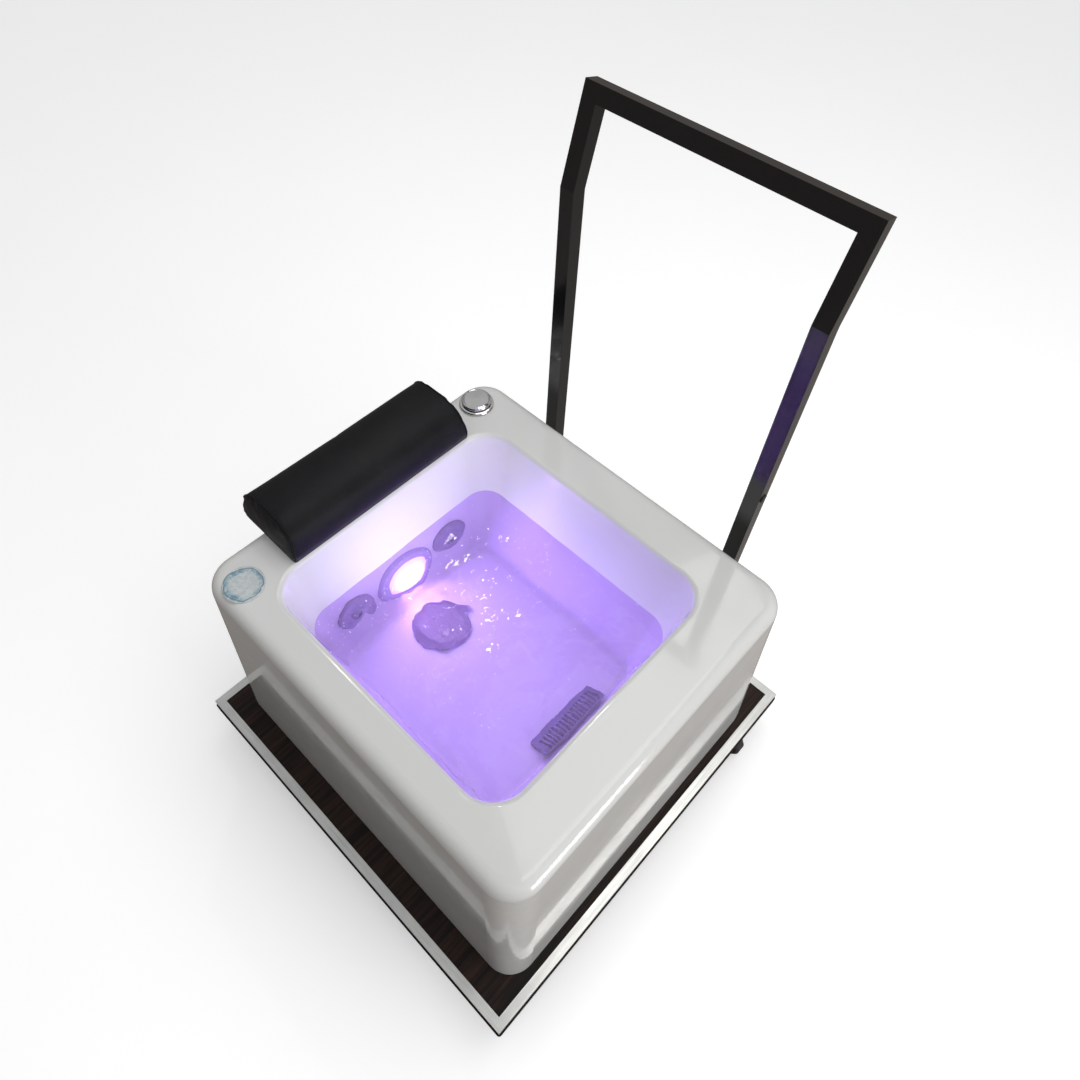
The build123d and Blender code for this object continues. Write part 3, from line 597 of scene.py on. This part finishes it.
def water_look():
    """Refracts what the camera sees; murky water and froth are drawn as a violet glow, painted light of
    the lamp in the water; other light passes straight through.
    """
    # The violet tint of the water stands in for the lamp's violet light: painted light.
    look = Look("stage_water", (0.47, 0.30, 0.80), 0.0, IOR=1.33, Transmission_Weight=1.0)
    look.bump(look.noise(70, 3), 0.001, 0.45)
    look.bump(look.noise(24, 2, twist=0.8), 0.003, 0.3)
    swirl = look.math("ABSOLUTE", look.math("SUBTRACT", look.noise(13, 3, twist=1.2), 0.5))
    streak = look.remap(swirl, 0.0, 0.014, 0.6, 0.0)
    froth = look.math("MULTIPLY", look.remap(look.cells(150), 0.10, 0.16, 1.0, 0.0),
                      look.remap(look.noise(11, 3), 0.52, 0.60))
    # Painted glow: an emission in place of the lamp's light scattered in the murky water, with the froth
    # spots glowing white in it.
    painted_glow = look.add("Emission")
    violet = look.mix(streak, (0.42, 0.245, 0.93), (0.62, 0.40, 1.0))
    look.feed(painted_glow.inputs["Color"], look.mix(froth, violet, (0.90, 0.80, 1.0)))
    glow_blend = look.add("MixShader")
    # Share of the painted glow: more where the water is murky and where froth is.
    murk = look.remap(look.noise(9, 4), 0.3, 0.7, 0.16, 0.28)
    look.feed(glow_blend.inputs[0], look.math("ADD", murk, look.math("MULTIPLY", froth, 0.4)))
    look.tree.links.new(look.bsdf.outputs[0], glow_blend.inputs[1])
    look.tree.links.new(painted_glow.outputs[0], glow_blend.inputs[2])
    clear = look.add("BsdfTransparent")
    clear.inputs["Color"].default_value = (0.92, 0.88, 1.0, 1)
    path = look.add("LightPath")
    straight = look.math("MAXIMUM", path.outputs["Is Shadow Ray"], path.outputs["Is Diffuse Ray"])
    mixer = look.add("MixShader")
    look.feed(mixer.inputs[0], straight)
    look.tree.links.new(glow_blend.outputs[0], mixer.inputs[1])
    look.tree.links.new(clear.outputs[0], mixer.inputs[2])
    output = next(n for n in look.tree.nodes if n.type == "OUTPUT_MATERIAL")
    look.tree.links.new(mixer.outputs[0], output.inputs["Surface"])
    return look.mat


def stirred(x, y, at, reach):
    """1 at the middle of a stirred patch of water, falling to 0 around it."""
    return math.exp(-((x - at[0]) ** 2 + (y - at[1]) ** 2) / reach ** 2)


def make_water():
    """Rippled surface that runs a little into the basin's walls; livelier near the jets."""
    jet = centre_of("jet_face_1")
    cover = centre_of("suction_cover")
    rows = []
    for j in range(WATER_CELLS + 1):
        y = WATER_LOW[1] + (WATER_HIGH[1] - WATER_LOW[1]) * j / WATER_CELLS
        row = []
        for i in range(WATER_CELLS + 1):
            x = WATER_LOW[0] + (WATER_HIGH[0] - WATER_LOW[0]) * i / WATER_CELLS
            broad = noise.noise(Vector((x * 17, y * 17, 0.3)))
            fine = noise.noise(Vector((x * 41, y * 41, 4.2)))
            wild = (stirred(x, y, (jet[0] + 0.03, jet[1]), 0.035)
                    + stirred(x, y, (cover[0] + 0.02, cover[1]), 0.04))
            chop = noise.noise(Vector((x * 62, y * 62, 1.7))) * min(1.0, wild)
            row.append(Vector((x, y, WATER_Z + SWELL * (broad + 0.5 * fine) + CHOP * chop)))
        rows.append(row)
    water = new_object("stage_water", grid_mesh("stage_water", rows), water_look())


def area_light(name, at, toward, size, power, color=(1, 1, 1)):
    data = bpy.data.lights.new(name, "AREA")
    data.shape = "RECTANGLE"
    data.size, data.size_y = size
    data.energy = power
    data.color = color
    light = bpy.data.objects.new(name, data)
    bpy.context.scene.collection.objects.link(light)
    light.location = at
    light.rotation_euler = (Vector(toward) - Vector(at)).to_track_quat("-Z", "Y").to_euler()
    return light


def make_world():
    """Soft room: bright overhead, dim and a little warm at the horizon; a pale backdrop."""
    world = bpy.data.worlds.new("studio")
    bpy.context.scene.world = world
    world.use_nodes = True
    tree = world.node_tree
    split = tree.nodes.new("ShaderNodeSeparateXYZ")
    tree.links.new(tree.nodes.new("ShaderNodeTexCoord").outputs["Generated"], split.inputs[0])
    rise = tree.nodes.new("ShaderNodeMapRange")
    tree.links.new(split.outputs["Z"], rise.inputs["Value"])
    rise.inputs["From Min"].default_value = 0.05
    rise.inputs["From Max"].default_value = 0.75
    sky = tree.nodes.new("ShaderNodeMix")
    sky.data_type = "RGBA"
    tree.links.new(rise.outputs["Result"], sky.inputs["Factor"])
    sky.inputs[6].default_value = (0.18, 0.16, 0.15, 1)
    sky.inputs[7].default_value = (0.60, 0.61, 0.615, 1)
    backdrop = tree.nodes.new("ShaderNodeMix")
    backdrop.data_type = "RGBA"
    seen = tree.nodes.new("ShaderNodeLightPath").outputs["Is Camera Ray"]
    tree.links.new(seen, backdrop.inputs["Factor"])
    tree.links.new(sky.outputs[2], backdrop.inputs[6])
    backdrop.inputs[7].default_value = (0.93, 0.93, 0.93, 1)
    tree.links.new(backdrop.outputs[2], tree.nodes["Background"].inputs["Color"])


def hidden_light(*settings):
    """Lights its surroundings but is not seen itself."""
    light = area_light(*settings)
    light.visible_camera = False
    light.visible_glossy = False
    light.visible_transmission = False


def make_lights():
    make_world()
    area_light("overhead", (0.3, 0.6, 2.4), (0, 0, 0.3), (1.8, 1.2), 14, (1.0, 0.99, 0.97))
    area_light("side", (2.4, 0.1, 0.55), (0, 0, 0.2), (1.2, 0.9), 26)
    area_light("glint", (-0.82, 0.66, 2.0), (0, 0, 0.33), (0.07, 0.05), 1.2)
    lamp = Vector(centre_of("lamp_lens"))
    hidden_light("lamp_glow", lamp + Vector((0.012, 0, 0.003)), lamp + Vector((0.2, 0, -0.02)),
                 (0.05, 0.05), 1.25, (0.46, 0.33, 1.0))
    cover = Vector(centre_of("suction_cover"))
    hidden_light("lamp_spill", cover + Vector((-0.050, 0.002, 0.034)), cover + Vector((-0.030, 0.002, 0)),
                 (0.025, 0.025), 0.045, (1.0, 0.62, 0.80))
    hidden_light("water_glow", (-0.07, -0.03, WATER_Z + 0.012), (-0.19, 0.01, 0.42),
                 (0.16, 0.12), 0.28, (0.74, 0.68, 1.0))
    bpy.context.scene.view_settings.view_transform = "Standard"


pale_floor()
make_water()
make_lights()
